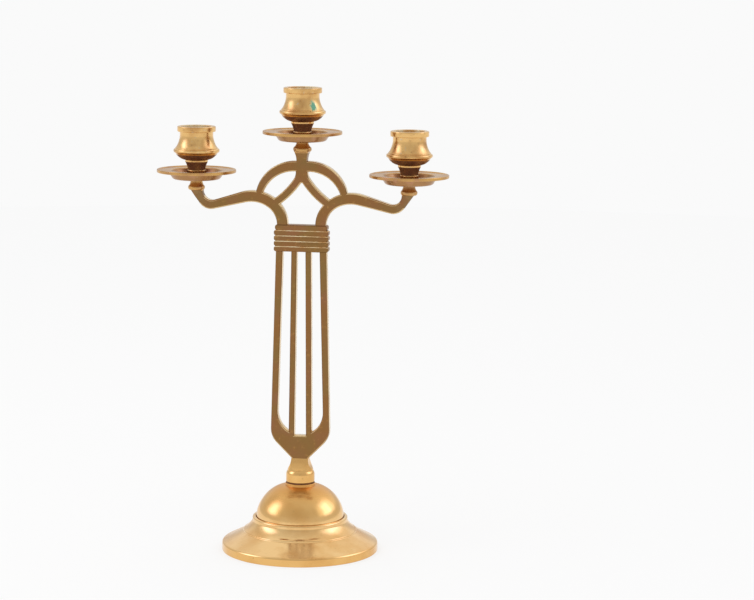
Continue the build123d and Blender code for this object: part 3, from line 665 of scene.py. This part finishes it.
class CANDELABRA_OT_foot(bpy.types.Operator):
    """Turn the hollow foot: rim, skirt, step, cove, ring, groove, dome and boss"""

    bl_idname = "candelabra.foot"
    bl_label = "Turned Foot"

    def execute(self, context):
        finishes = ["polished", "grime_and_shade", "cast"]
        bm = spin_profile(FOOT_PROFILE, context.scene.candelabra_shape.facets)
        paint(bm, finishes, foot_finish)
        finish_piece(context, bm, "turned_foot", "stand", ["foot"], finishes)
        return {"FINISHED"}


class CANDELABRA_OT_stem(bpy.types.Operator):
    """Dress the cast stem: browned faces, edges worn bright with a painted sheen, a bright neck, hazed seats,
    and pale dried polish painted as a highlight in the band's grooves
    """

    bl_idname = "candelabra.stem"
    bl_label = "Cast Stem"

    def execute(self, context):
        finishes = ["cast", "rubbed_and_sheen", "polished", "hazed", "dried"]
        bm = bmesh.new()
        bm.from_mesh(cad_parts["stem_frame"].data)
        bmesh.ops.remove_doubles(bm, verts=bm.verts[:], dist=MERGED)
        bmesh.ops.dissolve_limit(bm, angle_limit=FLAT_ANGLE, use_dissolve_boundaries=False,
                                 verts=bm.verts[:], edges=bm.edges[:])
        for edge in bm.edges:
            in_neck = max(vert.co.z for vert in edge.verts) < NECK_TOP * MM
            edge.smooth = edge.calc_face_angle(0.0) < (FACET_ANGLE if in_neck else SHARP_ANGLE)
        paint(bm, finishes, stem_finish)
        finish_piece(context, bm, "cast_stem", "stand", ["stem_frame"], finishes)
        return {"FINISHED"}


class CANDELABRA_OT_pans(bpy.types.Operator):
    """Turn the three drip pans: flat rims with a rolled edge, round dished wells"""

    bl_idname = "candelabra.pans"
    bl_label = "Drip Pans"

    def execute(self, context):
        finishes = ["hazed", "shaded"]
        for side in SIDES:
            node = side + "_drip_pan"
            bm = spin_profile(PAN_PROFILE, context.scene.candelabra_shape.facets)
            paint(bm, finishes, pan_finish)
            bmesh.ops.translate(bm, verts=bm.verts[:], vec=light_place(node))
            finish_piece(context, bm, side + "_pan_turned", side + "_pan", [node], finishes)
        return {"FINISHED"}


class CANDELABRA_OT_cups(bpy.types.Operator):
    """Turn the three candle cups, with tarnish under the bead and in the socket"""

    bl_idname = "candelabra.cups"
    bl_label = "Candle Cups"

    def execute(self, context):
        finishes = ["cup", "tarnished", "dried"]
        for side in SIDES:
            node = side + "_candle_cup"
            bm = spin_profile(CUP_PROFILE, context.scene.candelabra_shape.facets)
            paint(bm, finishes, cup_finish)
            bmesh.ops.translate(bm, verts=bm.verts[:], vec=light_place(node))
            finish_piece(context, bm, side + "_cup_turned", side + "_cup", [node], finishes)
        return {"FINISHED"}


class CANDELABRA_OT_studs(bpy.types.Operator):
    """Cut the threads of the studs and finish the washer and nut"""

    bl_idname = "candelabra.studs"
    bl_label = "Studs and Tie"

    def execute(self, context):
        shape = context.scene.candelabra_shape
        for side in SIDES:
            node = side + "_cup_stud"
            bm = threaded_rod(*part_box(node), shape.cup_pitch)
            finish_piece(context, bm, node + "_thread", side + "_stud", [node], ["shaded"])
        bm = threaded_rod(*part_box("tie_stud"), shape.tie_pitch)
        finish_piece(context, bm, "tie_thread", "stand", ["tie_stud"], ["steel"])
        for node in ("tie_washer", "tie_nut"):
            dress_node(context, node, "steel")
        return {"FINISHED"}


def paper_floor(stage):
    """Pale paper that keeps the object's soft shadow."""
    material, tree, _ = blank_material("pale_paper")
    paper = add(tree, "ShaderNodeBsdfDiffuse", {"Color": stage.paper})
    glow = add(tree, "ShaderNodeEmission", {"Color": stage.paper, "Strength": 1.0})
    path = add(tree, "ShaderNodeLightPath")
    seen = add(tree, "ShaderNodeMath", {0: path.outputs["Is Camera Ray"], 1: path.outputs["Is Glossy Ray"]},
               operation="MAXIMUM")
    share = add(tree, "ShaderNodeMath", {0: seen.outputs[0], 1: PAPER_GLOW}, operation="MULTIPLY")
    lit = add(tree, "ShaderNodeMixShader", {0: share.outputs[0], 1: paper.outputs[0], 2: glow.outputs[0]})
    close_material(tree, lit)
    return material


def studio_world(stage):
    """Paper all round as the camera and the floor see it; the metal mirrors the studio with its soft lights."""
    world = bpy.data.worlds.new("studio")
    world.use_nodes = True
    tree = world.node_tree
    tree.nodes.clear()
    facing = add(tree, "ShaderNodeTexCoord").outputs["Generated"]
    axes = add(tree, "ShaderNodeSeparateXYZ", {0: facing})
    ahead = add(tree, "ShaderNodeMath", {0: axes.outputs["Y"], 1: -1.0}, operation="MULTIPLY")
    bearing = add(tree, "ShaderNodeMath", {0: axes.outputs["X"], 1: ahead.outputs[0]}, operation="ARCTAN2")
    turn = add(tree, "ShaderNodeMapRange", {
        "Value": bearing.outputs[0], "From Min": -math.pi, "From Max": math.pi})
    ring = add(tree, "ShaderNodeValToRGB", {"Fac": turn.outputs[0]})
    ring.color_ramp.interpolation = "EASE"
    stops = ring.color_ramp.elements
    stops.remove(stops[1])
    for degrees, level in LIGHT_RING:
        place = degrees / 360 + 0.5
        stop = stops[0] if place == 0.0 else stops.new(place)
        stop.color = (level, level, max(level, level ** LAMP_COOLNESS), 1.0)
    rise = add(tree, "ShaderNodeMath", {0: axes.outputs["Z"]}, operation="ARCSINE")
    level = add(tree, "ShaderNodeMapRange", {
        "Value": rise.outputs[0], "From Min": TABLE_EDGE[0], "From Max": TABLE_EDGE[1],
        "To Min": TABLE_LEVEL, "To Max": HORIZON_LEVEL})
    lifted = add(tree, "ShaderNodeMapRange", {
        "Value": rise.outputs[0], "From Min": LAMP_FOOT[0], "From Max": LAMP_FOOT[1]},
        interpolation_type="SMOOTHSTEP")
    sides = add(tree, "ShaderNodeMix", {0: lifted.outputs[0], 6: level.outputs[0], 7: ring.outputs[0]},
                data_type="RGBA")
    ceiling = add(tree, "ShaderNodeMapRange", {
        "Value": axes.outputs["Y"], "From Min": CEILING_SPAN[0], "From Max": CEILING_SPAN[1],
        "To Min": CEILING_LEVELS[0], "To Max": CEILING_LEVELS[1]}, interpolation_type="SMOOTHSTEP")
    above = add(tree, "ShaderNodeMapRange", {
        "Value": rise.outputs[0], "From Min": LAMP_HEAD[0], "From Max": LAMP_HEAD[1]},
        interpolation_type="SMOOTHSTEP")
    studio = add(tree, "ShaderNodeMix", {0: above.outputs[0], 6: sides.outputs[2], 7: ceiling.outputs[0]},
                 data_type="RGBA")
    path = add(tree, "ShaderNodeLightPath")
    colour = add(tree, "ShaderNodeMix", {
        0: path.outputs["Is Glossy Ray"], 6: stage.paper, 7: studio.outputs[2]}, data_type="RGBA")
    light = add(tree, "ShaderNodeBackground", {"Color": colour.outputs[2], "Strength": 1.0})
    add(tree, "ShaderNodeOutputWorld", {"Surface": light.outputs[0]})
    return world


def top_softbox(context, power):
    """The square soft light that draws the shadow, out of sight of the camera and the metal."""
    lamp = bpy.data.lights.new("top_softbox", "AREA")
    lamp.shape = "RECTANGLE"
    lamp.size = SOFTBOX_SIZE
    lamp.size_y = SOFTBOX_SIZE
    lamp.energy = power
    softbox = bpy.data.objects.new("top_softbox", lamp)
    softbox.location = SOFTBOX_PLACE
    aim = Vector(SOFTBOX_AIM) - Vector(SOFTBOX_PLACE)
    softbox.rotation_euler = aim.to_track_quat("-Z", "Y").to_euler()
    softbox.visible_camera = False
    softbox.visible_glossy = False
    context.scene.collection.objects.link(softbox)


def aimed_camera(context, stage):
    """The camera, placed round the stem's axis and turned by pan, tilt and roll."""
    camera = bpy.data.cameras.new("camera")
    camera.sensor_fit = "HORIZONTAL"
    camera.sensor_width = SENSOR_WIDTH
    camera.lens = SENSOR_WIDTH * stage.focal_pixels / PICTURE_WIDTH
    camera.clip_start = NEAREST_SEEN
    heading = stage.pan - stage.azimuth
    forward = Vector((math.sin(heading) * math.cos(stage.tilt), math.cos(heading) * math.cos(stage.tilt),
                      -math.sin(stage.tilt)))
    level = Vector((math.cos(heading), -math.sin(heading), 0.0))
    upright = level.cross(forward)
    right = math.cos(stage.roll) * level + math.sin(stage.roll) * upright
    up = math.cos(stage.roll) * upright - math.sin(stage.roll) * level
    turn = Matrix((right, up, -forward)).transposed().to_4x4()
    place = Vector((stage.distance * math.sin(stage.azimuth), -stage.distance * math.cos(stage.azimuth),
                    stage.height))
    eye = bpy.data.objects.new("camera", camera)
    eye.matrix_world = Matrix.Translation(place) @ turn
    context.scene.collection.objects.link(eye)
    context.scene.camera = eye


class CANDELABRA_OT_stage(bpy.types.Operator):
    """Set the floor, backdrop, lights and camera"""

    bl_idname = "candelabra.stage"
    bl_label = "Stage"

    def execute(self, context):
        stage = context.scene.candelabra_stage
        bm = bmesh.new()
        bmesh.ops.create_circle(bm, cap_ends=True, segments=FLOOR_FACETS, radius=FLOOR_RADIUS)
        mesh = bpy.data.meshes.new("paper_floor")
        bm.to_mesh(mesh)
        bm.free()
        mesh.materials.append(paper_floor(stage))
        floor = bpy.data.objects.new("paper_floor", mesh)
        context.scene.collection.objects.link(floor)
        context.scene.world = studio_world(stage)
        top_softbox(context, stage.top_light)
        aimed_camera(context, stage)
        context.scene.view_settings.view_transform = "Standard"
        return {"FINISHED"}


OPERATORS = (
    CANDELABRA_OT_foot,
    CANDELABRA_OT_stem,
    CANDELABRA_OT_pans,
    CANDELABRA_OT_cups,
    CANDELABRA_OT_studs,
    CANDELABRA_OT_stage,
)


class CANDELABRA_PT_panel(bpy.types.Panel):
    """Lists the pieces of the candelabra"""

    bl_idname = "CANDELABRA_PT_panel"
    bl_label = "Candelabra"
    bl_space_type = "VIEW_3D"
    bl_region_type = "UI"
    bl_category = "Candelabra"

    def draw(self, context):
        for operator in OPERATORS:
            self.layout.operator(operator.bl_idname)


GROUPS = {
    "candelabra_shape": CandelabraShape,
    "candelabra_finish": CandelabraFinish,
    "candelabra_stage": CandelabraStage,
}


def register():
    """Registers the classes and gives the scene its groups of sizes and colours."""
    for name, group in GROUPS.items():
        bpy.utils.register_class(group)
        setattr(bpy.types.Scene, name, bpy.props.PointerProperty(type=group))
    for cls in OPERATORS + (CANDELABRA_PT_panel,):
        bpy.utils.register_class(cls)


def unregister():
    """Takes the classes and groups away again."""
    for cls in (CANDELABRA_PT_panel,) + OPERATORS[::-1]:
        bpy.utils.unregister_class(cls)
    for name, group in GROUPS.items():
        delattr(bpy.types.Scene, name)
        bpy.utils.unregister_class(group)


def main():
    """Builds the candelabra and its stage."""
    register()
    bpy.ops.candelabra.foot()
    bpy.ops.candelabra.stem()
    bpy.ops.candelabra.pans()
    bpy.ops.candelabra.cups()
    bpy.ops.candelabra.studs()
    bpy.ops.candelabra.stage()


if __name__ == "__main__":
    main()
